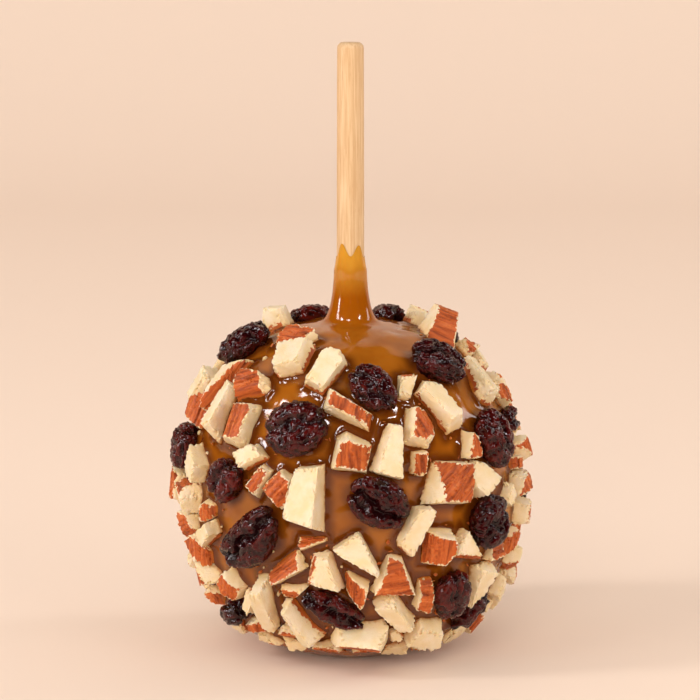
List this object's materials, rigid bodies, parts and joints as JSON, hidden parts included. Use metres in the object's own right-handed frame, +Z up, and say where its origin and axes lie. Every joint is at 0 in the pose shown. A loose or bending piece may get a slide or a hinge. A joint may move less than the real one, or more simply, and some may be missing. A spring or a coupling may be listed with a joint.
{
  "type": "caramel apple",
  "caption": "Whole apple on a wooden stick, in a caramel coat that runs up the stick as a collar, set all over with chopped almonds and dried cherries and bare around the stick and underneath.",
  "frame": {"origin": "centre of the flat foot under the apple, on the stick's axis", "axes": "+Z up along the stick, -Y towards the viewer of the front, +X to that viewer's right"},
  "size_m": [0.0864, 0.0892, 0.1433],
  "materials": {
    "caramel": "glossy, slightly translucent cooked caramel",
    "birch": "plain sanded dowel",
    "almond": "matt cut almond, brown skin on some faces",
    "dried_cherry": "glossy wrinkled dark skin"
  },
  "bodies": {
    "root": {"coated_apple": "caramel", "stick": "birch", "cherry_01": "dried_cherry", "cherry_02": "dried_cherry", "cherry_03": "dried_cherry", "cherry_04": "dried_cherry", "cherry_05": "dried_cherry", "cherry_06": "dried_cherry", "cherry_07": "dried_cherry", "cherry_08": "dried_cherry", "cherry_09": "dried_cherry", "cherry_10": "dried_cherry", "cherry_11": "dried_cherry", "cherry_12": "dried_cherry", "cherry_13": "dried_cherry", "cherry_14": "dried_cherry", "cherry_15": "dried_cherry", "cherry_16": "dried_cherry", "cherry_17": "dried_cherry", "cherry_18": "dried_cherry", "cherry_19": "dried_cherry", "cherry_20": "dried_cherry", "cherry_21": "dried_cherry", "cherry_22": "dried_cherry", "cherry_23": "dried_cherry", "cherry_24": "dried_cherry", "cherry_25": "dried_cherry", "cherry_26": "dried_cherry", "cherry_27": "dried_cherry", "cherry_28": "dried_cherry", "cherry_29": "dried_cherry", "cherry_30": "dried_cherry", "cherry_31": "dried_cherry", "cherry_32": "dried_cherry", "almond_01": "almond", "almond_02": "almond", "almond_03": "almond", "almond_04": "almond", "almond_05": "almond", "almond_06": "almond", "almond_07": "almond", "almond_08": "almond", "almond_09": "almond", "almond_10": "almond", "almond_11": "almond", "almond_12": "almond", "almond_13": "almond", "almond_14": "almond", "almond_15": "almond", "almond_16": "almond", "almond_17": "almond", "almond_18": "almond", "almond_19": "almond", "almond_20": "almond", "almond_21": "almond", "almond_22": "almond", "almond_23": "almond", "almond_24": "almond", "almond_25": "almond", "almond_26": "almond"}
  },
  "joints": []
}
